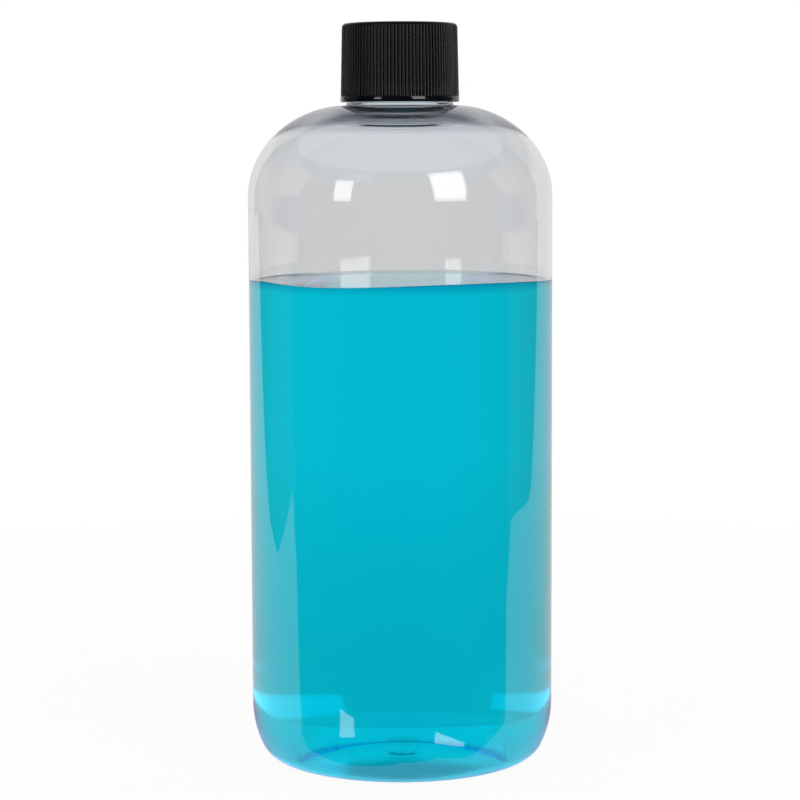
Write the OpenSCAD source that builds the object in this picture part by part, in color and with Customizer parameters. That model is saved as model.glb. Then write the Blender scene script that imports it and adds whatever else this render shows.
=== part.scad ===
// Boston round bottle with a fine-ribbed screw cap.
// A stretch-blown clear bottle stands on a narrow ring, holds a clear liquid
// and is closed by a ribbed cap that seals on the mouth with a soft disc.
// Millimetres, +Z up, origin on the axis in the plane the bottle stands on.

/* [Bottle body] */
// Outside diameter of the straight wall
bottle_d = 69; // [60:0.5:80]
// Height at which the straight wall turns into the shoulder
shoulder_z = 128.5; // [90:0.5:160]
// Thickness of the blown wall
wall_t = 0.6; // [0.4:0.05:1.2]

/* [Shoulder] */
// Radius of the tight arc where the wall turns inward
shoulder_r = 19.6; // [16:0.1:22]
// Angle through which that arc turns
shoulder_turn = 42.8; // [38:0.2:47]
// Radius of the flatter arc that runs on to the neck
crown_r = 23.45; // [22:0.05:26]
// Wall thickness where the shoulder meets the neck
neck_root_t = 2.2; // [1.5:0.1:3]

/* [Heel and base] */
// Radius of the long arc that draws the wall in above the heel
tuck_r = 22.4; // [16:0.2:28]
// Angle through which the long arc turns
tuck_turn = 25.2; // [18:0.2:32]
// Radius of the heel proper
heel_r = 6.1; // [4:0.1:8]
// Width of the flat ring the bottle stands on
land_w = 1.6; // [1:0.1:3]
// Height of the pushed-up base at the middle
push_up = 3.2; // [1.5:0.1:5]
// Wall thickness of the pushed-up base
base_t = 1.2; // [0.8:0.1:2]
// Diameter of the gate mark under the base
gate_d = 3; // [2:0.2:5]
// Height of the gate mark
gate_h = 0.5; // [0.3:0.1:1]

/* [Neck finish] */
// Diameter of the neck tube between the thread turns
neck_d = 21.7; // [20.5:0.1:22.5]
// Height of the thread on the neck, which the cap's bore has to clear
thread_h = 0.95; // [0.7:0.05:1.2]
// Wall thickness of the neck tube
neck_t = 1.65; // [1.2:0.05:2.2]
// Height of the finish from the seat bead's top to the mouth
finish_h = 15.4; // [13:0.1:18]
// How far the bead under the cap stands out past the thread
bead_step = 0.3; // [0.1:0.05:0.6]
// Height of the bead above the shoulder
bead_h = 0.55; // [0.4:0.05:1]
// Rounding of the mouth's edges
lip_r = 0.5; // [0.2:0.1:0.7]
// Rounding where the bore opens into the shoulder
throat_r = 0.8; // [0.4:0.1:1.4]

/* [Liquid] */
// Height of the liquid's surface above the standing plane
fill_z = 110.3; // [40:0.5:120]
// Clearance between the liquid and the wall that holds it
liquid_gap = 0.03; // [0.02:0.01:0.1]

/* [Cap] */
// Wall thickness of the skirt over the lowest ribs
skirt_t = 1.225; // [0.95:0.025:1.8]
// Draft of the ribbed skirt in degrees
cap_draft = 1.2; // [0.5:0.1:1.6]
// How far the smooth band below the ribs stands out past them
band_step = 0.075; // [0.025:0.025:0.3]
// Height of the smooth band
band_h = 1.2; // [0.8:0.1:2]
// Thickness of the cap's top
top_t = 1.4; // [1:0.1:2]
// Rounding of the top's edge
crown_edge_r = 1; // [0.5:0.1:1.3]
// Radial clearance between the cap's bore and the thread crests
skirt_gap = 0.35; // [0.2:0.05:0.4]
// Gap between the seat bead and the cap's lower edge
seat_gap = 0.15; // [0.1:0.05:0.3]
// Number of ribs round the skirt
rib_n = 100; // [72:4:120]
// Depth of the grooves between the ribs
rib_depth = 0.34; // [0.1:0.02:0.4]

/* [Sealing disc] */
// Thickness of the soft disc
disc_t = 1; // [0.6:0.1:1.6]
// Radial clearance of the disc in the cap
disc_gap = 0.25; // [0.1:0.05:0.5]
// Height of the rounded edge of the disc's two faces
disc_edge = 0.12; // [0.05:0.01:0.2]

/* [Hidden] */
$fn = 128;

// One overrun for every cut
over = 1;
// Share of a rib's pitch that a groove is wide where it meets the skirt
groove_share = 0.78;
// Share of a circle's radius that a sector's wedge reaches past it
wedge_share = 2.4;

// Middle of the long arc and of the heel arc, as [radius, height]
body_r = bottle_d / 2;
tuck_z = (tuck_r - heel_r) * sin(tuck_turn) + heel_r;
tuck_c = [body_r - tuck_r, tuck_z];
heel_c = tuck_c + (tuck_r - heel_r) * [cos(tuck_turn), -sin(tuck_turn)];

// Middle of the shoulder arc and of the crown arc
shoulder_c = [body_r - shoulder_r, shoulder_z];
crown_c = shoulder_c
    - (crown_r - shoulder_r) * [cos(shoulder_turn), sin(shoulder_turn)];
crown_z = crown_c[1] + crown_r;

// The crown's inside is a tighter arc, so the wall thickens towards the neck
inner_top_z = crown_z - neck_root_t;
inner_from = shoulder_c
    + (shoulder_r - wall_t) * [cos(shoulder_turn), sin(shoulder_turn)];
inner_crown_r = (inner_top_z - inner_from[1]) / (1 - sin(shoulder_turn));
inner_crown_c = inner_from
    - inner_crown_r * [cos(shoulder_turn), sin(shoulder_turn)];

// The pushed-up base is a shallow dome inside the standing ring
land_in_r = heel_c[0] - land_w;
dome_r = (land_in_r * land_in_r + push_up * push_up) / (2 * push_up);
dome_c = [0, push_up - dome_r];

// The neck's radii and its levels, from the shoulder up to the mouth
neck_r = neck_d / 2;
bore_r = neck_r - neck_t;
thread_r = neck_r + thread_h;
bead_r = thread_r + bead_step;
bead_z = crown_z + bead_h;
mouth_z = bead_z + finish_h;

// The cap's radii and its levels
cap_bore_r = thread_r + skirt_gap;
cap_r = cap_bore_r + skirt_t;
band_r = cap_r + band_step;
cap_z = bead_z + seat_gap;
disc_z = mouth_z;
ceiling_z = disc_z + disc_t;
top_z = ceiling_z + top_t;
ribs_z = cap_z + band_h;
edge_z = top_z - crown_edge_r;
edge_x = cap_r
    - (crown_edge_r + (edge_z - ribs_z) * sin(cap_draft)) / cos(cap_draft);

// A groove follows the drafted skirt at a steady depth and runs out at the top
rib_pitch = 2 * PI * cap_r / rib_n;
groove_w = groove_share * rib_pitch;
groove_l = (top_z - ribs_z + over) / cos(cap_draft);

// A pie slice of a circle about a middle, from one angle to another
module slice(c, r, from_a, to_a) {
    mid_a = (from_a + to_a) / 2;
    reach = wedge_share * r;
    translate(c)
        intersection() {
            circle(r);
            polygon([
                [0, 0],
                reach * [cos(from_a), sin(from_a)],
                reach * [cos(mid_a), sin(mid_a)],
                reach * [cos(to_a), sin(to_a)]
            ]);
        }
}

// A point on a circle about a middle
function on_arc(c, r, a) = c + r * [cos(a), sin(a)];

// The heel and the straight wall, as a half outline drawn in by t
module lower_outline(t) {
    polygon([
        [0, t],
        [heel_c[0], t],
        on_arc(heel_c, heel_r - t, -tuck_turn),
        on_arc(tuck_c, tuck_r - t, 0),
        [body_r - t, shoulder_z],
        [0, shoulder_z]
    ]);
    slice(heel_c, heel_r - t, -90, -tuck_turn);
    slice(tuck_c, tuck_r - t, -tuck_turn, 0);
}

// The outside of the shoulder
module shoulder_outline() {
    polygon([
        [0, shoulder_z],
        [body_r, shoulder_z],
        on_arc(shoulder_c, shoulder_r, shoulder_turn),
        [crown_c[0], crown_z],
        [0, crown_z]
    ]);
    slice(shoulder_c, shoulder_r, 0, shoulder_turn);
    slice(crown_c, crown_r, shoulder_turn, 90);
}

// The space inside the blown body, drawn in by a gap
module inside_outline(gap) {
    difference() {
        union() {
            lower_outline(wall_t + gap);
            polygon([
                [0, shoulder_z],
                [body_r - wall_t - gap, shoulder_z],
                on_arc(shoulder_c, shoulder_r - wall_t - gap, shoulder_turn),
                [inner_crown_c[0], inner_top_z - gap],
                [0, inner_top_z - gap]
            ]);
            slice(shoulder_c, shoulder_r - wall_t - gap, 0, shoulder_turn);
            slice(inner_crown_c, inner_crown_r - gap, shoulder_turn, 90);
        }
        translate(dome_c)
            circle(dome_r + base_t + gap);
    }
}

// The bore, with the material's lower edge rounded where it opens out
module bore_outline() {
    translate([0, inner_top_z - over])
        square([bore_r, mouth_z - inner_top_z + 2 * over]);
    difference() {
        translate([0, inner_top_z - over])
            square([bore_r + throat_r, throat_r + over]);
        translate([bore_r + throat_r, inner_top_z + throat_r])
            circle(throat_r);
    }
}

// The neck: a plain tube with a rounded mouth, standing on the seat bead
module neck_outline() {
    translate([0, crown_z - neck_root_t / 2])
        square([bead_r, bead_z - crown_z + neck_root_t / 2]);
    translate([0, crown_z])
        square([neck_r, mouth_z - lip_r - crown_z]);
    translate([0, mouth_z - lip_r - over])
        square([neck_r - lip_r, lip_r + over]);
    translate([neck_r - lip_r, mouth_z - lip_r])
        circle(lip_r);
}

// Clear bottle: one moulding from the gate mark to the mouth
module bottle() {
    color([0.80, 0.84, 0.86, 0.35])
        union() {
            rotate_extrude()
                intersection() {
                    difference() {
                        union() {
                            lower_outline(0);
                            shoulder_outline();
                            neck_outline();
                        }
                        inside_outline(0);
                        bore_outline();
                        translate(dome_c)
                            circle(dome_r);
                    }
                    square([bottle_d, mouth_z + over]);
                }
            translate([0, 0, push_up - gate_h])
                cylinder(h = gate_h + base_t / 2, d = gate_d);
        }
}

// Clear liquid: fills the inside up to its level surface
module liquid() {
    color([0.0, 0.68, 0.77, 0.8])
        rotate_extrude()
            intersection() {
                inside_outline(liquid_gap);
                square([bottle_d, fill_z]);
            }
}

// Soft disc that seals the mouth
module liner() {
    disc_r = cap_bore_r - disc_gap;
    color([0.93, 0.93, 0.91])
        translate([0, 0, disc_z])
            rotate_extrude()
                polygon([
                    [0, 0],
                    [disc_r - disc_edge, 0],
                    [disc_r, disc_edge],
                    [disc_r, disc_t - disc_edge],
                    [disc_r - disc_edge, disc_t],
                    [0, disc_t]
                ]);
}

// One vee groove between two ribs, leaning in with the skirt's draft
module rib_groove() {
    translate([cap_r, 0, ribs_z])
        rotate([0, -cap_draft, 0])
            linear_extrude(height = groove_l)
                polygon([
                    [-rib_depth, 0],
                    [rib_depth, -groove_w],
                    [rib_depth, groove_w]
                ]);
}

// Half outline of the cap's outside: band, drafted skirt and rounded top edge
module cap_outline() {
    translate([0, cap_z])
        square([band_r, band_h]);
    polygon([
        [0, ribs_z],
        [cap_r, ribs_z],
        on_arc([edge_x, edge_z], crown_edge_r, cap_draft),
        [edge_x, top_z],
        [0, top_z]
    ]);
    slice([edge_x, edge_z], crown_edge_r, cap_draft, 90);
}

// Screw cap: ribbed skirt, smooth lower band and a closed top
module cap() {
    color([0.07, 0.07, 0.08])
        difference() {
            rotate_extrude()
                difference() {
                    cap_outline();
                    translate([0, cap_z - over])
                        square([cap_bore_r, ceiling_z - cap_z + over]);
                }
            for (i = [0 : rib_n - 1])
                rotate([0, 0, i * 360 / rib_n])
                    rib_groove();
        }
}

bottle();
liquid();
liner();
cap();
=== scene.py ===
"""Looks of a boston round bottle of clear liquid with a fine-ribbed screw cap.

Everything is in metres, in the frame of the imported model: the origin is in
the standing plane on the axis, and +Z runs up to the cap. The camera stands
on the -Y side, with +X on its right.
"""
from math import ceil, cos, exp, pi, radians, sin, sqrt, tan

import bpy
from mathutils import Euler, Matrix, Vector


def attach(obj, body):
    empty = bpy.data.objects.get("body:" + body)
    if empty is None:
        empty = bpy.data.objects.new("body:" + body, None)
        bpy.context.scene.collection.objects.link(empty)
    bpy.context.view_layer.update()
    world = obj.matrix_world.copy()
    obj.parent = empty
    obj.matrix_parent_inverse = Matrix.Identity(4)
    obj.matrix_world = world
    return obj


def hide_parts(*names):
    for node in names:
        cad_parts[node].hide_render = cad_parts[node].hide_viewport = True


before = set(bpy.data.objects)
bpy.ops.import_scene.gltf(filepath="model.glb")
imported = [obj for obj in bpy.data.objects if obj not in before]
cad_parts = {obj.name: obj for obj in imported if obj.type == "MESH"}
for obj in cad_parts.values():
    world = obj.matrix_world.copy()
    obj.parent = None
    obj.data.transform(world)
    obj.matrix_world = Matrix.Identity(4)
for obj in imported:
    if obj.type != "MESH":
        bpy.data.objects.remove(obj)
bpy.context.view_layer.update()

MM = 0.001
TURN = 2 * pi

# Sizes that the solids have too; the turns of arcs and the draft are in degrees
# Bottle
body_r = 34.5 * MM
shoulder_z = 128.5 * MM
wall_t = 0.6 * MM
shoulder_r = 19.6 * MM
shoulder_turn = 42.8
crown_r = 23.45 * MM
neck_root_t = 2.2 * MM
tuck_r = 22.4 * MM
tuck_turn = 25.2
heel_r = 6.1 * MM
land_w = 1.6 * MM
push_up = 3.2 * MM
base_t = 1.2 * MM
gate_r = 1.5 * MM
gate_h = 0.5 * MM
neck_r = 10.85 * MM
bore_r = 9.2 * MM
bead_r = 12.1 * MM
bead_h = 0.55 * MM
finish_h = 15.4 * MM
lip_r = 0.5 * MM
throat_r = 0.8 * MM
# Liquid
fill_z = 110.3 * MM
liquid_gap = 0.03 * MM
# Cap and sealing disc
cap_bore_r = 12.15 * MM
cap_r = 13.375 * MM
band_r = 13.45 * MM
band_h = 1.2 * MM
cap_draft = 1.2
seat_gap = 0.15 * MM
top_t = 1.4 * MM
top_edge_r = 1.0 * MM
rib_n = 100
rib_depth = 0.34 * MM
disc_t = 1.0 * MM
disc_r = 11.9 * MM

# Threads of the neck and the cap; crest and foot are half widths
pitch = 3.175 * MM
thread_turns = 1.5
thread_drop = 2.0 * MM
thread_h = 0.95 * MM
thread_crest = 0.28 * MM
thread_foot = 0.95 * MM
cap_thread_h = 1.0 * MM
cap_thread_crest = 0.2 * MM
cap_thread_foot = 0.62 * MM
cap_thread_bite = 0.25 * MM
cap_thread_soft = 0.12 * MM
# Angle in radians over which a thread grows to its full height at either end
thread_grow = 0.5

# Soft edges and small forms; a rounded edge has its middle point at this share of its width
edge_mid = 0.3
land_soft = 0.1 * MM
bead_soft = 0.15 * MM
mouth_soft = 0.25 * MM
cap_soft = 0.2 * MM
disc_soft = 0.12 * MM
neck_foot = 0.35 * MM
neck_foot_mid = 0.1 * MM
# Height over the bead at which the neck's thread may start
thread_from = 0.5 * MM
ceiling_edge = 0.4 * MM
ceiling_edge_mid = 0.1 * MM
band_ledge = 0.02 * MM
rib_start = 0.05 * MM
rib_full = 0.3 * MM
# Gate mark, as shares of its radius and its height, and the radius where the dome starts
gate_outline = ((0, 1), (0.5, 1), (0.86, 0.86), (1, 0.45))
gate_end = 1.15 * gate_r
# Degrees at which the outside of the crown meets the seat bead
crown_end = 88

# The liquid's surface: level inside, drawn up at the wall and uneven along it
climb = 0.45 * MM
climb_w = 1.2 * MM
wave_h = 0.2 * MM
third_wave = 0.75
wave_power = 4
# Liquid that clings higher to the wall at the front left, in degrees from the front
cling_h = 0.75 * MM
cling_at = -62
cling_w = 22
# The thin skin over the surface
film_lift = 0.005 * MM
film_t = 0.02 * MM

# Steps of the meshes, round the axis and along the outlines
bottle_around = 256
disc_around = 160
dome_n = 24
base_n = 26
heel_n = 18
tuck_n = 14
wall_n = 30
wet_n = 28
shoulder_n = 20
crown_n = 22
thread_row = 0.2 * MM
ridge_n = 180
# The wall's rows next to the line where the liquid meets it
above_fill = 4 * MM
below_fill = 3 * MM
# Rings of the liquid's surface, by their distance from the wall in millimetres, and the
# number of steps from the last of them to the axis
surface_rings = (0, 0.15, 0.35, 0.6, 0.9, 1.3, 1.8, 2.5, 3.5, 5, 7, 10)
surface_n = 14
# Points across half a rib, as shares of the pitch from the middle of its crest
half_rib = (0, 0.08, 0.16, 0.24, 0.32, 0.39, 0.45, 0.485, 0.5)
# Steps of the cap's top edge, and how many of them the ribs take to fade out
top_edge_n = 6
rib_fade_n = 4

# Levels and arc middles that follow from the sizes, as (radius, height)
tuck_z = (tuck_r - heel_r) * sin(radians(tuck_turn)) + heel_r
tuck_c = (body_r - tuck_r, tuck_z)
heel_c = (
    tuck_c[0] + (tuck_r - heel_r) * cos(radians(tuck_turn)),
    tuck_c[1] - (tuck_r - heel_r) * sin(radians(tuck_turn)),
)
shoulder_c = (body_r - shoulder_r, shoulder_z)
crown_c = (
    shoulder_c[0] - (crown_r - shoulder_r) * cos(radians(shoulder_turn)),
    shoulder_c[1] - (crown_r - shoulder_r) * sin(radians(shoulder_turn)),
)
crown_z = crown_c[1] + crown_r
inner_r = body_r - wall_t
inner_top_z = crown_z - neck_root_t
inner_from = (
    shoulder_c[0] + (shoulder_r - wall_t) * cos(radians(shoulder_turn)),
    shoulder_c[1] + (shoulder_r - wall_t) * sin(radians(shoulder_turn)),
)
inner_crown_r = (inner_top_z - inner_from[1]) / (1 - sin(radians(shoulder_turn)))
inner_crown_c = (
    inner_from[0] - inner_crown_r * cos(radians(shoulder_turn)),
    inner_from[1] - inner_crown_r * sin(radians(shoulder_turn)),
)
land_in_r = heel_c[0] - land_w
dome_r = (land_in_r ** 2 + push_up ** 2) / (2 * push_up)
dome_cz = push_up - dome_r
# The inside of the base ends here, and the heel's inside starts this far above it
base_in_r = heel_c[0] - 0.3 * MM
base_clear = 0.05 * MM
bead_z = crown_z + bead_h
mouth_z = bead_z + finish_h
lip_z = mouth_z - lip_r
thread_low_z = mouth_z - thread_drop - thread_turns * pitch
thread_end = thread_turns * TURN
cap_z = bead_z + seat_gap
ceiling_z = mouth_z + disc_t
top_z = ceiling_z + top_t
ribs_z = cap_z + band_h
edge_z = top_z - top_edge_r
edge_x = cap_r - (
    top_edge_r + (edge_z - ribs_z) * sin(radians(cap_draft))
) / cos(radians(cap_draft))
# A rib is an arc from groove to groove
half_pitch = pi * cap_r / rib_n
rib_r = (half_pitch ** 2 + rib_depth ** 2) / (2 * rib_depth)


# Mesh helpers
def arc(middle, r, from_deg, to_deg, n):
    """Points on a circle, both ends included."""
    steps = [radians(from_deg + (to_deg - from_deg) * i / n) for i in range(n + 1)]
    return [(middle[0] + r * cos(a), middle[1] + r * sin(a)) for a in steps]


def line(a, b, n):
    """Points from a to b, without the last one."""
    return [(a[0] + (b[0] - a[0]) * i / n, a[1] + (b[1] - a[1]) * i / n) for i in range(n)]


def tagged(points, tag=""):
    """Rows for lathe, which all have the same tag."""
    return [(r, z, tag) for r, z in points]


def smooth(x):
    """0 to 1 with level ends."""
    x = min(1.0, max(0.0, x))
    return x * x * (3 - 2 * x)


def even(n):
    """Angles of a full turn in n equal steps."""
    return [TURN * i / n for i in range(n)]


def add_mesh(name, verts, faces):
    """A new object in the scene, with these corners and faces."""
    mesh = bpy.data.meshes.new(name)
    mesh.from_pydata(verts, [], faces)
    mesh.update()
    piece = bpy.data.objects.new(name, mesh)
    bpy.context.scene.collection.objects.link(piece)
    return piece


def lathe(name, rows, angles, shape=None, slots=None):
    """A closed mesh turned from rows of (radius, height, tag).

    shape(radius, height, angle, tag) may move a point. A row on the axis is
    one point. slots(tag of the lower row, tag of the upper) gives a slot.
    """
    verts, rings = [], []
    segments = len(angles)
    for r, z, tag in rows:
        if r <= 0:
            if shape:
                r, z = shape(0.0, z, 0.0, tag)
            rings.append([len(verts)])
            verts.append((0.0, 0.0, z))
            continue
        ring = []
        for a in angles:
            at_r, at_z = shape(r, z, a, tag) if shape else (r, z)
            ring.append(len(verts))
            verts.append((at_r * cos(a), at_r * sin(a), at_z))
        rings.append(ring)
    faces, owners = [], []
    for k in range(len(rings) - 1):
        low, high = rings[k], rings[k + 1]
        slot = slots(rows[k][2], rows[k + 1][2]) if slots else 0
        for i in range(segments):
            j = (i + 1) % segments
            if len(low) == 1:
                faces.append((low[0], high[j], high[i]))
            elif len(high) == 1:
                faces.append((low[i], low[j], high[0]))
            else:
                faces.append((low[i], low[j], high[j], high[i]))
            owners.append(slot)
    piece = add_mesh(name, verts, faces)
    piece.data.polygons.foreach_set("material_index", owners)
    piece.data.polygons.foreach_set("use_smooth", [True] * len(faces))
    piece.data.update()
    return piece


# Forms that more than one piece follows
def dome(r, lift):
    """Height of the pushed-up base, or of its inside."""
    return dome_cz + sqrt((dome_r + lift) ** 2 - r ** 2)


def wetted(gap):
    """The inside of base, heel and wall under the liquid, from the axis up, at a gap from it."""
    lift = base_t + gap
    base = [base_in_r * i / base_n for i in range(base_n + 1)]
    out = [(r, dome(r, lift)) for r in base]
    # The heel's inside starts where it comes out above the inside of the base
    heel = arc(heel_c, heel_r - wall_t - gap, -90, -tuck_turn, heel_n)[:-1]
    out += [(r, z) for r, z in heel if r > heel_c[0] and z > dome(r, lift) + base_clear]
    out += arc(tuck_c, tuck_r - wall_t - gap, -tuck_turn, 0, tuck_n)
    out += line((inner_r - gap, tuck_z), (inner_r - gap, fill_z - below_fill), wet_n)[1:]
    return out


def surface_z(r, a):
    """Height of the surface; the wave's angle b starts at the front, to the right."""
    b = (a + 3 * pi / 2) % TURN - pi
    wave = wave_h * (sin(b) + sin(2 * b) + cos(2 * b) + third_wave * sin(3 * b) - 1)
    wave += cling_h * exp(-((b - radians(cling_at)) / radians(cling_w)) ** 2)
    wave *= (r / inner_r) ** wave_power
    return fill_z + wave - climb * (1 - exp(-(inner_r - r) / climb_w))


def surface_radii():
    """Radii of the surface's rings, from the wall to the axis."""
    near = [inner_r - liquid_gap - away * MM for away in surface_rings]
    return near + [near[-1] * (1 - i / surface_n) for i in range(1, surface_n + 1)]


def thread_growth(t):
    """1 along a thread and less near its ends, at t radians from its start."""
    return smooth(t / thread_grow) * smooth((thread_end - t) / thread_grow)


# Bottle
def thread_rise(a, z):
    """How much of its height the neck's thread has at an angle and a height."""
    rises = []
    for k in range(ceil(thread_turns)):
        t = a + TURN * k
        off = abs(z - (thread_low_z + pitch * t / TURN))
        rises.append(smooth((thread_foot - off) / (thread_foot - thread_crest)) * thread_growth(t))
    return max(rises)


def bottle_shape(r, z, a, tag):
    """Raises the neck's thread, and bends the row where the liquid meets the wall."""
    if tag == "thread":
        return r + thread_h * thread_rise(a, z), z
    if tag == "contact":
        return r, surface_z(inner_r, a)
    return r, z


def underside_rows():
    """Gate mark, dome and standing ring."""
    out = [(gate_r * across, push_up - gate_h * down) for across, down in gate_outline]
    out += [(r, dome(r, 0)) for r in
            [gate_end + (land_in_r - gate_end) * i / dome_n for i in range(dome_n)]]
    out += [(land_in_r - land_soft, dome(land_in_r - land_soft, 0)), (land_in_r + land_soft, 0)]
    out += [(heel_c[0] - land_soft, 0)]
    return tagged(out)


def outside_rows():
    """Heel, wall, shoulder and crown."""
    out = arc(heel_c, heel_r, -90, -tuck_turn, heel_n)[1:]
    out += arc(tuck_c, tuck_r, -tuck_turn, 0, tuck_n)[1:]
    out += line((body_r, tuck_z), (body_r, shoulder_z), wall_n)[1:]
    out += arc(shoulder_c, shoulder_r, 0, shoulder_turn, shoulder_n)
    out += arc(crown_c, crown_r, shoulder_turn, crown_end, crown_n)[1:]
    return tagged(out)


def neck_rows():
    """Seat bead, threaded neck, rounded mouth and bore."""
    out = tagged([
        (bead_r + bead_soft, crown_z),
        (bead_r, crown_z + bead_soft),
        (bead_r, bead_z - bead_soft),
        (bead_r - bead_soft, bead_z),
        (neck_r + neck_foot, bead_z),
        (neck_r + neck_foot_mid, bead_z + neck_foot_mid),
        (neck_r, bead_z + neck_foot),
    ])
    from_z = bead_z + thread_from
    rows = round((lip_z - from_z) / thread_row)
    out += tagged(line((neck_r, from_z), (neck_r, lip_z), rows), "thread")
    out += tagged(arc((neck_r - lip_r, lip_z), lip_r, 0, 90, n=5))
    mid = mouth_soft * edge_mid
    out += tagged([(bore_r + mouth_soft, mouth_z), (bore_r + mid, mouth_z - mid)])
    out += tagged(line((bore_r, mouth_z - mouth_soft), (bore_r, inner_top_z + throat_r), n=12))
    return out


def inside_rows():
    """Throat, crown, shoulder and wall, and all that the liquid wets."""
    out = tagged(arc((bore_r + throat_r, inner_top_z + throat_r), throat_r, 180, 270, n=6))
    out += tagged(arc(inner_crown_c, inner_crown_r, 90, shoulder_turn, crown_n))
    out += tagged(arc(shoulder_c, shoulder_r - wall_t, shoulder_turn, 0, shoulder_n)[1:])
    out += tagged(line((inner_r, shoulder_z), (inner_r, fill_z + above_fill), n=6)[1:])
    out += tagged([(inner_r, fill_z)], "contact")
    out += tagged([(inner_r, fill_z - below_fill)] + wetted(0)[::-1], "wet")
    return out


bottle_rows = underside_rows() + outside_rows() + neck_rows() + inside_rows()
bottle = lathe("bottle_wall", bottle_rows, even(bottle_around), bottle_shape,
               lambda low, high: 1 if high == "wet" else 0)


# Liquid and the thin skin over it, where light bends on its way in
def liquid_shape(r, z, a, tag):
    """Bends the top into the form of the surface."""
    return (r, surface_z(r, a)) if tag == "top" else (r, z)


def film_shape(r, z, a, tag):
    """Lays the skin over the surface; its rows are heights above it."""
    return r, surface_z(r, a) + z


surface = [(r, fill_z) for r in surface_radii()]
liquid_rows = tagged(wetted(liquid_gap), "side") + tagged(surface, "top")
liquid = lathe("liquid_body", liquid_rows, even(bottle_around), liquid_shape)

film_rows = tagged([(r, film_lift) for r in reversed(surface_radii())], "low")
film_rows += tagged([(r, film_lift + film_t) for r in surface_radii()], "top")
film = lathe("liquid_skin", film_rows, even(bottle_around), film_shape,
             lambda low, high: 1 if low == "top" else 0)


# Cap
def rib_angles():
    """Angles of the points across all the ribs."""
    shares = list(half_rib) + [1 - share for share in half_rib[-2:0:-1]]
    return [TURN / rib_n * (k + share) for k in range(rib_n) for share in shares]


def rib_dip(a):
    """Depth below the crest of a rib at an angle."""
    x = (a * rib_n / TURN) % 1.0
    off = min(x, 1 - x) * 2 * half_pitch
    return rib_r - sqrt(rib_r ** 2 - off ** 2)


def cap_shape(r, z, a, tag):
    """Cuts the ribs; a row whose tag is a number has this share of their depth."""
    return (r - tag * rib_dip(a), z) if isinstance(tag, float) else (r, z)


def cap_inside_rows():
    """Ceiling and bore."""
    bore_z = ceiling_z - ceiling_edge - ceiling_edge_mid
    out = [
        (0, ceiling_z),
        (cap_bore_r - ceiling_edge, ceiling_z),
        (cap_bore_r - ceiling_edge_mid, ceiling_z - ceiling_edge_mid),
        (cap_bore_r, ceiling_z - ceiling_edge),
    ]
    out += line((cap_bore_r, bore_z), (cap_bore_r, cap_z + cap_soft), n=4)[1:]
    return tagged(out)


def cap_outside_rows():
    """Lower edge, smooth band, ribbed skirt, rounded top edge and top."""
    mid = cap_soft * edge_mid
    out = tagged([(cap_bore_r, cap_z + cap_soft), (cap_bore_r + cap_soft, cap_z)])
    out += tagged([
        (band_r - cap_soft, cap_z),
        (band_r - mid, cap_z + mid),
        (band_r, cap_z + cap_soft),
        (band_r, ribs_z - cap_soft / 2),
        (cap_r + band_ledge, ribs_z),
    ], "band")
    edge = arc((edge_x, edge_z), top_edge_r, cap_draft, 90, top_edge_n)
    out += tagged([(cap_r, ribs_z + rib_start)], 0.0)
    out += tagged(line((cap_r, ribs_z + rib_full), edge[0], n=5), 1.0)
    for i, point in enumerate(edge):
        out += tagged([point], max(0.0, 1 - i / rib_fade_n))
    # A ring on the flat top keeps its shading even
    ring_r = 0.6 * edge_x
    out += tagged([(ring_r, top_z), (0, top_z)])
    return out


cap = lathe("cap_shell", cap_inside_rows() + cap_outside_rows(), rib_angles(), cap_shape,
            lambda low, high: 1 if low == "band" else 0)


def ridge_corners(t):
    """Section of the cap's thread at t radians from its start, as (radius, height over its middle)."""
    back_r = cap_bore_r + cap_thread_bite
    tip_r = cap_bore_r - cap_thread_h * thread_growth(t)
    return (
        (back_r, -cap_thread_foot),
        (cap_bore_r, -cap_thread_foot),
        (tip_r, -cap_thread_crest),
        (tip_r, cap_thread_crest),
        (cap_bore_r, cap_thread_foot),
        (back_r, cap_thread_foot),
    )


def thread_ridge(name):
    """A closed ridge that winds up the cap's bore, half a pitch under the neck's thread."""
    verts, faces = [], []
    corners = len(ridge_corners(0))
    for i in range(ridge_n + 1):
        t = thread_end * i / ridge_n
        z = thread_low_z - pitch / 2 + pitch * t / TURN
        verts += [(r * cos(t), r * sin(t), z + dz) for r, dz in ridge_corners(t)]
    for i in range(ridge_n):
        a, b = i * corners, (i + 1) * corners
        for k in range(corners):
            m = (k + 1) % corners
            faces.append((a + k, b + k, b + m, a + m))
    faces.append(tuple(reversed(range(corners))))
    faces.append(tuple(range(ridge_n * corners, (ridge_n + 1) * corners)))
    piece = add_mesh(name, verts, faces)
    bevel = piece.modifiers.new("soft edges", "BEVEL")
    bevel.width = cap_thread_soft
    bevel.segments = 2
    return piece


cap_thread = thread_ridge("cap_thread")


# Sealing disc
def disc_rows():
    """Underside, rounded rim and top, each flat side with a ring half way out."""
    rim_r = disc_r - disc_soft
    flat_side = (0, disc_r / 2, disc_r - disc_soft * 2)
    out = [(r, mouth_z) for r in flat_side]
    out += arc((rim_r, mouth_z + disc_soft), disc_soft, -90, 0, n=3)
    out += arc((rim_r, ceiling_z - disc_soft), disc_soft, 0, 90, n=3)
    out += [(r, ceiling_z) for r in reversed(flat_side)]
    return tagged(out)


liner = lathe("liner_disc", disc_rows(), even(disc_around))


# Node helpers; a value is a number, a colour or the output of another node
def feed(tree, value, socket):
    """Sets a socket to a plain value, or links an output to it."""
    if isinstance(value, bpy.types.NodeSocket):
        tree.links.new(value, socket)
    else:
        socket.default_value = value


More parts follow.
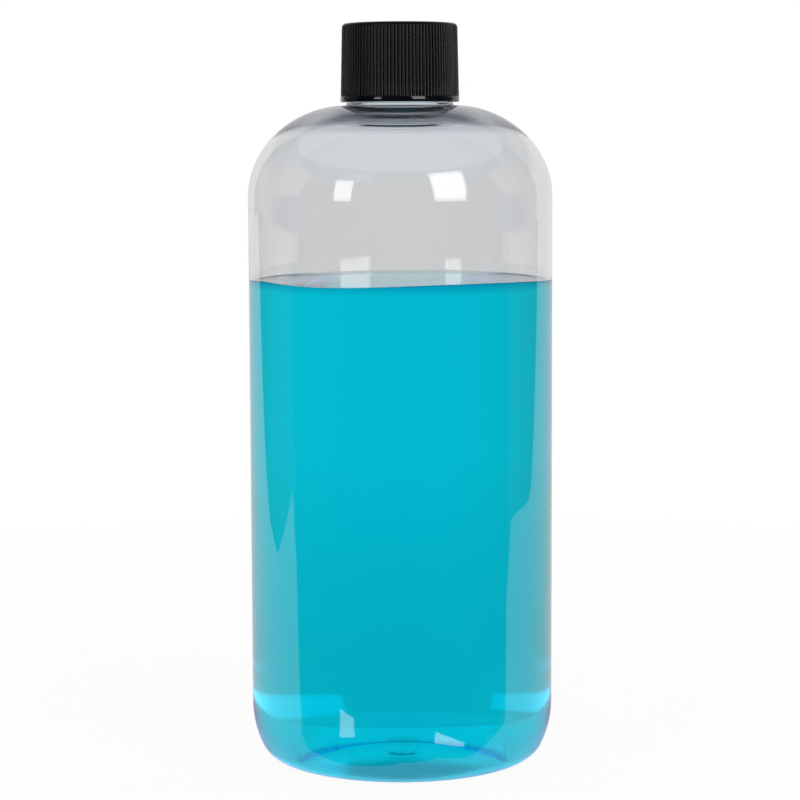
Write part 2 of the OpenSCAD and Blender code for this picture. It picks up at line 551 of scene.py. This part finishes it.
def calc(tree, operation, a, b=None, clamp=False):
    """Result of a Math node."""
    node = tree.nodes.new("ShaderNodeMath")
    node.operation = operation
    node.use_clamp = clamp
    feed(tree, a, node.inputs[0])
    if b is not None:
        feed(tree, b, node.inputs[1])
    return node.outputs[0]


def times(tree, a, b):
    """Product of two values."""
    return calc(tree, "MULTIPLY", a, b)


def ramp(tree, value, start, end, low=0.0, high=1.0, eased=False):
    """low up to a start and high from an end on, with level ends if eased."""
    node = tree.nodes.new("ShaderNodeMapRange")
    if eased:
        node.interpolation_type = "SMOOTHSTEP"
    for key, number in (("From Min", start), ("From Max", end), ("To Min", low), ("To Max", high)):
        node.inputs[key].default_value = number
    feed(tree, value, node.inputs["Value"])
    return node.outputs["Result"]


def step(tree, value, edge, width):
    """0 below an edge and 1 above it, over a width."""
    return calc(tree, "DIVIDE", calc(tree, "SUBTRACT", value, edge - width / 2), width, clamp=True)


def blend(tree, share, a, b):
    """Colour a where the share is 0, and b where it is 1."""
    node = tree.nodes.new("ShaderNodeMixRGB")
    feed(tree, share, node.inputs["Fac"])
    feed(tree, a, node.inputs["Color1"])
    feed(tree, b, node.inputs["Color2"])
    return node.outputs["Color"]


def mix_shaders(tree, share, a, b):
    """Shader a where the share is 0, and b where it is 1."""
    node = tree.nodes.new("ShaderNodeMixShader")
    for i, value in enumerate((share, a, b)):
        feed(tree, value, node.inputs[i])
    return node.outputs[0]


def place(tree, kind="Object"):
    """Coordinates of the shaded point in the piece's own space; Generated is a direction in the world."""
    return tree.nodes.new("ShaderNodeTexCoord").outputs[kind]


def parts(tree, vector):
    """The X, Y and Z of a vector."""
    node = tree.nodes.new("ShaderNodeSeparateXYZ")
    feed(tree, vector, node.inputs[0])
    return node.outputs


def unmirrored(tree, in_world=False):
    """1 for light that took no reflection on its way; the world counts one turn more."""
    path = tree.nodes.new("ShaderNodeLightPath")
    turns = calc(tree, "SUBTRACT", path.outputs["Ray Depth"], path.outputs["Transmission Depth"])
    return calc(tree, "LESS_THAN", turns, 1.5 if in_world else 0.5)


def noise(tree, scale, detail, axes=(1, 1, 1)):
    """Noise in the piece's own space; an axis with less than 1 has it drawn out."""
    mapping = tree.nodes.new("ShaderNodeMapping")
    mapping.inputs["Scale"].default_value = axes
    feed(tree, place(tree), mapping.inputs["Vector"])
    node = tree.nodes.new("ShaderNodeTexNoise")
    node.inputs["Scale"].default_value = scale
    node.inputs["Detail"].default_value = detail
    feed(tree, mapping.outputs["Vector"], node.inputs["Vector"])
    return node.outputs["Fac"]


def bump(tree, shader, height, strength, distance):
    """Bumps from a height, on the shader's normal."""
    node = tree.nodes.new("ShaderNodeBump")
    node.inputs["Strength"].default_value = strength
    node.inputs["Distance"].default_value = distance
    feed(tree, height, node.inputs["Height"])
    feed(tree, node.outputs["Normal"], shader.inputs["Normal"])


# Materials
white = (1, 1, 1, 1)
plastic_ior = 1.575
liquid_ior = 1.333
wall_tint = (0.968, 0.974, 0.977, 1)
wet_tint = (0.985, 0.99, 0.99, 1)
# The thick crown is a little cloudy between these heights, and tinted blue and darker there, partly the
# thick plastic's own tint and partly painted shade; the neck is clear again
crown_tint_and_shade = (0.775, 0.815, 0.875, 1)
cloud_from_z = 143.9 * MM
cloud_full_z = 146.6 * MM
cloud_end_z = crown_z - 0.1 * MM
cloud_rough = 0.12
# The thick base is duller than the wall: fully up to one height, and no longer from another
dull_z = (3.0 * MM, 6.0 * MM)
dull_rough = 0.08
# Painted shade: just under its surface the liquid looks darker through the front of the wall
waterline_painted_shade = (0.1, 0.37, 0.52, 1)
shade_h = 2.2 * MM
shade_end_y = 8.0 * MM
liquid_colour = (0.0, 0.956, 0.995, 1)
liquid_density = 105.0
rib_black = (0.004, 0.004, 0.0042, 1)
band_black = (0.003, 0.003, 0.0032, 1)
foam_white = (0.86, 0.86, 0.84, 1)


def material(name, **values):
    """A material, its nodes and its Principled shader, which has these socket values."""
    mat = bpy.data.materials.new(name)
    mat.use_nodes = True
    shader = mat.node_tree.nodes["Principled BSDF"]
    for key, value in values.items():
        shader.inputs[key.replace("_", " ")].default_value = value
    return mat, mat.node_tree, shader


def clear_material(name, ior, colour=white):
    """A material that light passes, bent by the index of refraction."""
    return material(name, Base_Color=colour, Roughness=0.0, IOR=ior, Transmission_Weight=1.0)


def ripple(tree, shader):
    """Faint ripples from the blowing, drawn out upwards."""
    waves = noise(tree, scale=55, detail=1.5, axes=(1, 1, 0.35))
    bump(tree, shader, waves, strength=0.05, distance=0.4 * MM)


def clear_wall_material():
    """The blown wall against air."""
    mat, tree, shader = clear_material("clear_wall", plastic_ior, wall_tint)
    ripple(tree, shader)
    z = parts(tree, place(tree))["Z"]
    cloud = ramp(tree, z, cloud_from_z, cloud_full_z, eased=True)
    crown = times(tree, cloud, calc(tree, "LESS_THAN", z, cloud_end_z))
    feed(tree, times(tree, crown, cloud_rough), shader.inputs["Roughness"])
    # Blue tint of the thick crown, darkened as painted shade
    feed(tree, blend(tree, crown, wall_tint, crown_tint_and_shade), shader.inputs["Base Color"])
    return mat


def wet_wall_material():
    """The same wall where liquid wets it: the bend is only that between the two."""
    mat, tree, shader = clear_material("wet_wall", plastic_ior / liquid_ior, wet_tint)
    ripple(tree, shader)
    _, y, z = parts(tree, place(tree))
    feed(tree, ramp(tree, z, *dull_z, dull_rough, 0.0), shader.inputs["Roughness"])
    # Painted shade along the waterline, on the front half of the wall
    shade = ramp(tree, z, fill_z - shade_h, fill_z)
    front = ramp(tree, y, 0.0, shade_end_y, 1.0, 0.0)
    tint = blend(tree, times(tree, shade, front), wet_tint, waterline_painted_shade)
    feed(tree, tint, shader.inputs["Base Color"])
    return mat


def liquid_material():
    """Dyed liquid; light has bent already in the wetted wall or in the skin."""
    mat, tree, _ = clear_material("liquid_side", ior=1.0)
    node = tree.nodes.new("ShaderNodeVolumeAbsorption")
    node.inputs["Color"].default_value = liquid_colour
    node.inputs["Density"].default_value = liquid_density
    feed(tree, node.outputs["Volume"], tree.nodes["Material Output"].inputs["Volume"])
    return mat


def film_top_material():
    """The free surface, a little uneven."""
    mat, tree, shader = clear_material("film_top", liquid_ior)
    bump(tree, shader, noise(tree, scale=60, detail=1.0), strength=0.1, distance=0.3 * MM)
    return mat


def cap_material():
    """Moulded black plastic, matt on the ribs and the top."""
    mat, tree, shader = material("cap_black", Base_Color=rib_black, Roughness=0.2, IOR=1.33)
    rough = ramp(tree, noise(tree, scale=240, detail=3), start=0.3, end=0.7, low=0.17, high=0.2)
    feed(tree, rough, shader.inputs["Roughness"])
    return mat


def band_material():
    """The same plastic, polished on the band under the ribs."""
    mat, tree, shader = material("cap_band", Base_Color=band_black, Roughness=0.06, IOR=1.5)
    bump(tree, shader, noise(tree, scale=2600, detail=3), strength=0.005, distance=0.03 * MM)
    return mat


def foam_material():
    """Closed-cell foam."""
    mat, tree, shader = material("foam", Base_Color=foam_white, Roughness=0.75)
    bump(tree, shader, noise(tree, scale=2200, detail=2), strength=0.35, distance=0.08 * MM)
    return mat


film_under = clear_material("film_under", ior=1.0)[0]
cap_black = cap_material()
for piece, mats in (
    (bottle, (clear_wall_material(), wet_wall_material())),
    (liquid, (liquid_material(),)),
    (film, (film_under, film_top_material())),
    (cap, (cap_black, band_material())),
    (cap_thread, (cap_black,)),
    (liner, (foam_material(),)),
):
    for mat in mats:
        piece.data.materials.append(mat)

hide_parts("bottle")
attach(bottle, "bottle")
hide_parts("liquid")
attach(liquid, "bottle")
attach(film, "bottle")
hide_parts("liner")
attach(liner, "liner")
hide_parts("cap")
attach(cap, "cap")
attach(cap_thread, "cap")

# Stage: a pale table whose front edge lies just before the bottle, on a floor that looks
# dark in the bottle's reflections
pale = (0.76, 0.76, 0.76, 1)
dim = (0.01, 0.01, 0.011, 1)
matt_white = (0.95, 0.95, 0.95, 1)
shine_rough = 0.02
# Painted light: mirrored close by, the ground is bluer as if lit through the liquid, which shows along
# the edges of the heel
painted_near_light = (0.70, 0.78, 1.25, 1)
painted_near_light_away = (0.05, 0.1)
# Ramps over the distance from the origin, as (start, end, low, high): the shadow fades out
# into plain white, and through the bottle the ground is darker close by and under the bottle, a painted
# shadow
shadow_fade = (0.1, 0.4, 0.94, 1.0)
painted_shadow_near = (0.12, 0.55, 0.85, 1.0)
painted_shadow_under = (0.03, 0.07, 0.6, 1.0)
# The same over the sine of the angle to the right: the ground is a little darker to the
# left, which the liquid turns round to the right
left_level = (-0.5, -0.1, 0.87, 1.0)

far = 3.0
front_y = -0.036
floor_z = -0.11 * MM
shine_z = floor_z + 0.03 * MM
table_z = floor_z + 0.06 * MM
front_half = ((-far, -far), (far, -far), (far, front_y), (-far, front_y))
back_half = ((-far, front_y), (far, front_y), (far, far), (-far, far))
# Patches before the table, in which the heel sees the lamps
left_patch = ((-0.0716, -0.0846), (-0.0469, -0.088), (-0.0272, -0.058), (-0.0352, -0.0495))
right_patch = ((0.0157, -0.0518), (0.0285, -0.079), (0.0282, -0.0424), (0.0243, -0.040))
# The table's front edge runs from left to right, its right side goes back and its left side
# comes forward; they set where the pale bands in the heel and along the edges end
table_front = (
    (-0.245, -0.041), (-0.082, -0.034), (-0.056, -0.029), (-0.033, -0.027),
    (-0.014, -0.033), (0.0, -0.038), (0.012, -0.038), (0.020, -0.033),
    (0.044, -0.033), (0.082, -0.031), (0.245, -0.040), (0.409, -0.019),
)
table_right = ((0.427, 0.039), (0.427, 0.148), (0.466, 0.203), (far, 2.215), (far, far))
table_left = (
    (-far, far), (-far, 2.935), (-0.484, 0.300), (-0.361, 0.165),
    (-0.318, 0.076), (-0.490, -0.022), (-0.319, -0.042),
)


def emission(tree, colour, strength=1.0):
    """Output of an Emission node."""
    node = tree.nodes.new("ShaderNodeEmission")
    feed(tree, colour, node.inputs["Color"])
    feed(tree, strength, node.inputs["Strength"])
    return node.outputs[0]


def mirrored_look(tree, away, mirrored):
    """The stage in the bottle's reflections: a plain colour, bluer close by as painted light, or a shiny
    patch if it is None.
    """
    if mirrored is None:
        node = tree.nodes.new("ShaderNodeBsdfGlossy")
        node.inputs["Roughness"].default_value = shine_rough
        return node.outputs[0]
    # Painted light: the ground's colour is bluer close to the bottle
    painted_light_colour = tuple(level * tint for level, tint in zip(mirrored, painted_near_light))
    return emission(tree, blend(tree, ramp(tree, away, *painted_near_light_away), painted_light_colour, mirrored))


def through_look(tree, away, seen):
    """The stage through the bottle, pale on every side if light took no reflection."""
    x = parts(tree, place(tree))["X"]
    # Painted shadow of the bottle: the ground is darker close by and under it
    near = times(tree, ramp(tree, away, *painted_shadow_near), ramp(tree, away, *painted_shadow_under))
    left = ramp(tree, calc(tree, "DIVIDE", x, away), *left_level)
    colour = blend(tree, unmirrored(tree), seen, pale)
    return emission(tree, colour, times(tree, near, left))


def camera_look(tree, away, matt):
    """White with the bottle's soft shadow round its foot."""
    return mix_shaders(tree, ramp(tree, away, *shadow_fade), matt, emission(tree, white))


def stage_material(name, seen, mirrored):
    """Looks that differ for the camera, through the bottle and in its reflections."""
    mat = bpy.data.materials.new(name)
    mat.use_nodes = True
    tree = mat.node_tree
    tree.nodes.remove(tree.nodes["Principled BSDF"])
    path = tree.nodes.new("ShaderNodeLightPath")
    diffuse = tree.nodes.new("ShaderNodeBsdfDiffuse")
    diffuse.inputs["Color"].default_value = matt_white
    matt = diffuse.outputs[0]
    length = tree.nodes.new("ShaderNodeVectorMath")
    length.operation = "LENGTH"
    feed(tree, place(tree), length.inputs[0])
    away = length.outputs["Value"]
    look = matt
    for kind, other in (
        ("Is Glossy Ray", mirrored_look(tree, away, mirrored)),
        ("Is Transmission Ray", through_look(tree, away, seen)),
        ("Is Camera Ray", camera_look(tree, away, matt)),
    ):
        look = mix_shaders(tree, path.outputs[kind], look, other)
    feed(tree, look, tree.nodes["Material Output"].inputs["Surface"])
    return mat


def sheet(name, outline, z, seen, mirrored):
    """A level sheet of the stage."""
    piece = add_mesh(name, [(x, y, z) for x, y in outline], [tuple(range(len(outline)))])
    piece.data.materials.append(stage_material(name, seen, mirrored))


sheet("front_floor", front_half, floor_z, dim, dim)
sheet("floor", back_half, floor_z, pale, dim)
sheet("shine_left", left_patch, shine_z, dim, None)
sheet("shine_right", right_patch, shine_z, dim, None)
sheet("table", table_front + table_right + table_left, table_z, pale, pale)

# Room: white to the camera, and pale with darker parts through the bottle and in reflections
dark = (0.008, 0.022, 0.045, 1)
side = (0.09, 0.13, 0.22, 1)
ceiling = (0.95, 0.98, 1.0, 1)
high_backdrop = (0.41, 0.445, 0.48, 1)
mirrored_side = (0.22, 0.22, 0.22, 1)
mirrored_backdrop = (0.74, 0.74, 0.74, 1)
mirrored_ceiling = (0.12, 0.17, 0.24, 1)
matt_light = (0.6, 0.6, 0.61, 1)
# Where one part goes over into the next, as (edge, width): from front to back by the sine of
# the angle towards the back, which is -1 at the camera's side and 1 straight behind the bottle
side_from = (-0.3, 0.4)
backdrop_from = (0.5, 0.3)
mirrored_side_from = (0.25, 0.6)
mirrored_backdrop_from = (0.7, 0.02)
# The same from low to high, by the sine of the angle above level
pale_wall_top = (0.26, 0.1)
narrow_from = (0.28, 0.16)
high_backdrop_from = (0.325, 0.08)
ceiling_from = (0.62, 0.02)
mirrored_ceiling_from = (0.62, 0.1)
# How much narrower the backdrop is high up, and how far the mirrored one is turned to the right
narrow_by = 0.3
turned_right = 0.17


def room_through(tree, behind, up):
    """The room through the bottle."""
    room = blend(tree, step(tree, behind, *side_from), dark, side)
    # Light that passes without a reflection sees pale walls all round, up to a level
    pale_walls = blend(tree, step(tree, up, *pale_wall_top), pale, side)
    room = blend(tree, unmirrored(tree, in_world=True), room, pale_walls)
    narrowed = calc(tree, "SUBTRACT", behind, times(tree, step(tree, up, *narrow_from), narrow_by))
    backdrop = blend(tree, step(tree, up, *high_backdrop_from), pale, high_backdrop)
    room = blend(tree, step(tree, narrowed, *backdrop_from), room, backdrop)
    return blend(tree, step(tree, up, *ceiling_from), room, ceiling)


def room_mirrored(tree, behind, right, up):
    """The room in the bottle's reflections."""
    room = blend(tree, step(tree, behind, *mirrored_side_from), dark, mirrored_side)
    turned = calc(tree, "ADD", behind, times(tree, right, turned_right))
    room = blend(tree, step(tree, turned, *mirrored_backdrop_from), room, mirrored_backdrop)
    return blend(tree, step(tree, up, *mirrored_ceiling_from), room, mirrored_ceiling)


def room_world():
    """The world, with one look for each kind of ray."""
    world = bpy.data.worlds.new("studio")
    bpy.context.scene.world = world
    world.use_nodes = True
    tree = world.node_tree
    right, back, up = parts(tree, place(tree, "Generated"))
    level = calc(tree, "SQRT", calc(tree, "ADD", times(tree, right, right), times(tree, back, back)))
    # The small number only keeps the division from failing straight up
    behind = calc(tree, "DIVIDE", back, calc(tree, "MAXIMUM", level, 0.001))
    path = tree.nodes.new("ShaderNodeLightPath")
    colour = matt_light
    for kind, other in (
        ("Is Glossy Ray", room_mirrored(tree, behind, right, up)),
        ("Is Transmission Ray", room_through(tree, behind, up)),
        ("Is Camera Ray", white),
    ):
        colour = blend(tree, path.outputs[kind], colour, other)
    feed(tree, colour, tree.nodes["Background"].inputs["Color"])


room_world()

# Lamps: they stand round a point in the shoulder, and dim to a share of their light at the rim
lamp_middle = Vector((0, 0, 0.13))
lamp_rim_level = 0.5
lamp_rim_x = 0.10
lamp_rim_y = 0.16


def fall_off(data):
    """Dims a lamp towards its rim, whose widths are shares of its two sides."""
    data.use_nodes = True
    tree = data.node_tree
    x, y, _ = parts(tree, tree.nodes.new("ShaderNodeNewGeometry").outputs["Parametric"])
    half = 0.5
    levels = []
    for share, rim in ((x, lamp_rim_x), (y, lamp_rim_y)):
        off_middle = calc(tree, "ABSOLUTE", calc(tree, "SUBTRACT", share, half))
        levels.append(ramp(tree, off_middle, half - rim, half, 1.0, lamp_rim_level, eased=True))
    feed(tree, times(tree, *levels), tree.nodes["Emission"].inputs["Strength"])


def soft_lamp(name, azimuths, elevations, distance, strength):
    """An area lamp that fills these angles, in degrees, as the bottle's shoulder sees it.

    Azimuth 0 points from the bottle to the camera and is positive to the right.
    """
    mid_a, mid_e = radians(sum(azimuths) / 2), radians(sum(elevations) / 2)
    towards = Vector((sin(mid_a) * cos(mid_e), -cos(mid_a) * cos(mid_e), sin(mid_e)))
    data = bpy.data.lights.new(name, "AREA")
    data.shape = "RECTANGLE"
    data.size = 2 * distance * tan(radians(azimuths[1] - azimuths[0]) / 2)
    data.size_y = 2 * distance * tan(radians(elevations[1] - elevations[0]) / 2)
    data.energy = strength * data.size * data.size_y * pi
    fall_off(data)
    lamp = bpy.data.objects.new(name, data)
    lamp.location = lamp_middle + towards * distance
    lamp.rotation_euler = towards.to_track_quat("Z", "Y").to_euler()
    bpy.context.scene.collection.objects.link(lamp)


soft_lamp("lamp_right", azimuths=(24.0, 50.5), elevations=(-0.6, 34.5), distance=1.0, strength=4.3)
soft_lamp("lamp_left", azimuths=(-50.5, -36.0), elevations=(-0.6, 24.0), distance=1.1, strength=3.7)

# Camera, as the outline of the bottle in the photograph gives it; tilt and roll in degrees
photo_px = 800
focal_px = 2592.0
sensor_w = 36.0
camera_y = -0.590
camera_z = 0.1439
camera_tilt = 5.96
camera_roll = 0.22

camera_data = bpy.data.cameras.new("camera")
camera_data.sensor_width = sensor_w
camera_data.lens = focal_px / photo_px * sensor_w
camera = bpy.data.objects.new("camera", camera_data)
camera.location = (0, camera_y, camera_z)
camera.rotation_euler = Euler((radians(90 - camera_tilt), radians(camera_roll), 0))
bpy.context.scene.collection.objects.link(camera)
bpy.context.scene.camera = camera

bpy.context.scene.view_settings.view_transform = "Standard"

# Light runs far inside a clear wall before it gets out
cycles = bpy.context.scene.cycles
cycles.max_bounces = 40
cycles.glossy_bounces = 32
cycles.transmission_bounces = 32
